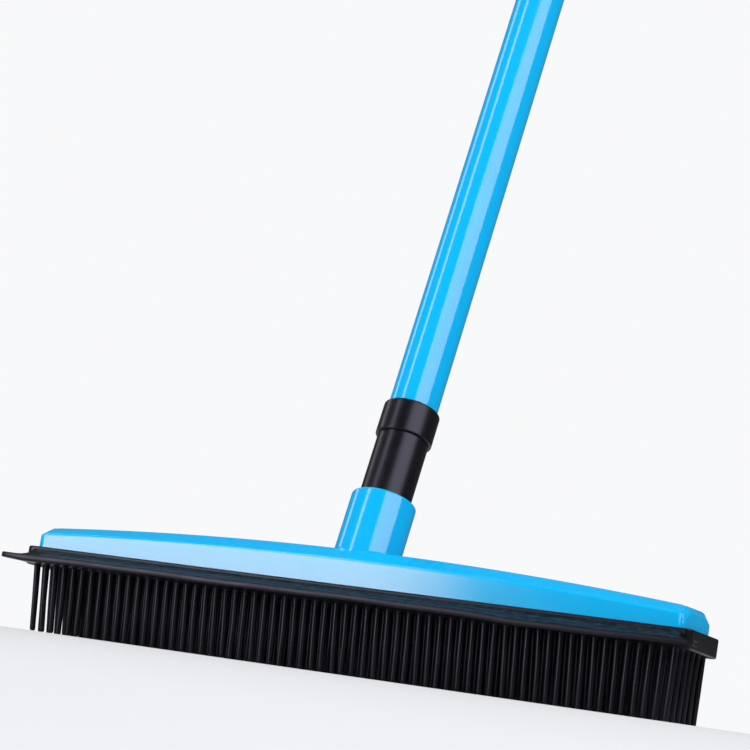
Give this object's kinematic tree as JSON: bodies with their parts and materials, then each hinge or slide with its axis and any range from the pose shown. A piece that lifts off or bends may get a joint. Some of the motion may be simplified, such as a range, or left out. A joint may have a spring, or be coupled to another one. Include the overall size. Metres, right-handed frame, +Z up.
{
  "type": "push broom",
  "caption": "Rubber-bristle push broom: crowned bar head with a squeegee edge, a leaning screw-in socket and a telescopic twist-lock handle with a hanging hole.",
  "frame": {"origin": "flat tip of the middle bristle of the third row, in the plane of all bristle tips", "axes": "+Z up, X along the head, the handle leans towards +Y and the squeegee edge points towards -Y"},
  "size_m": [0.3264, 0.289, 0.8546],
  "materials": {
    "blue_plastic": "glossy injection-moulded plastic",
    "blue_paint": "gloss enamel on thin steel tube",
    "black_rubber": "satin moulded rubber",
    "black_plastic": "satin moulded plastic",
    "grey_plastic": "matte moulded plastic",
    "white_nylon": "natural nylon",
    "zinc_steel": "zinc-plated steel"
  },
  "bodies": {
    "head": {"head_housing": "blue_plastic", "handle_socket": "blue_plastic", "rubber_brush": "black_rubber", "squeegee_blade": "black_rubber", "clamp_plate": "grey_plastic", "head_screws": "zinc_steel"},
    "seal": {"seal_ring": "black_rubber"},
    "handle": {"handle_stem": "black_plastic", "stem_collar": "black_plastic", "lower_tube": "blue_paint", "cross_pin": "zinc_steel", "lock_body": "black_plastic", "lock_collet": "white_nylon"},
    "lock": {"lock_nut": "black_plastic"},
    "extension": {"upper_tube": "blue_paint", "guide_plug": "white_nylon", "grip": "black_plastic", "end_cap": "black_plastic"}
  },
  "joints": [
    {"name": "handle_lift", "type": "slide", "parent": "head", "child": "seal", "axis": [0, 0.2924, 0.9563], "range_m": [0, 0.0199]},
    {"name": "handle_turn", "type": "hinge", "parent": "seal", "child": "handle", "pos_m": [0, 0.00981, 0.06043], "axis": [0, 0.2924, 0.9563], "range_deg": [0, 1440]},
    {"name": "lock_turn", "type": "hinge", "parent": "handle", "child": "lock", "pos_m": [0, 0.18523, 0.63421], "axis": [0, 0.2924, 0.9563], "range_deg": [0, 90]},
    {"name": "tube_slide", "type": "slide", "parent": "handle", "child": "extension", "axis": [0, 0.2924, 0.9563], "range_m": [0, 0.4]}
  ],
  "couplings": [
    {"joint": "handle_turn", "follows": "handle_lift", "rad_per_m": 1256.6}
  ]
}
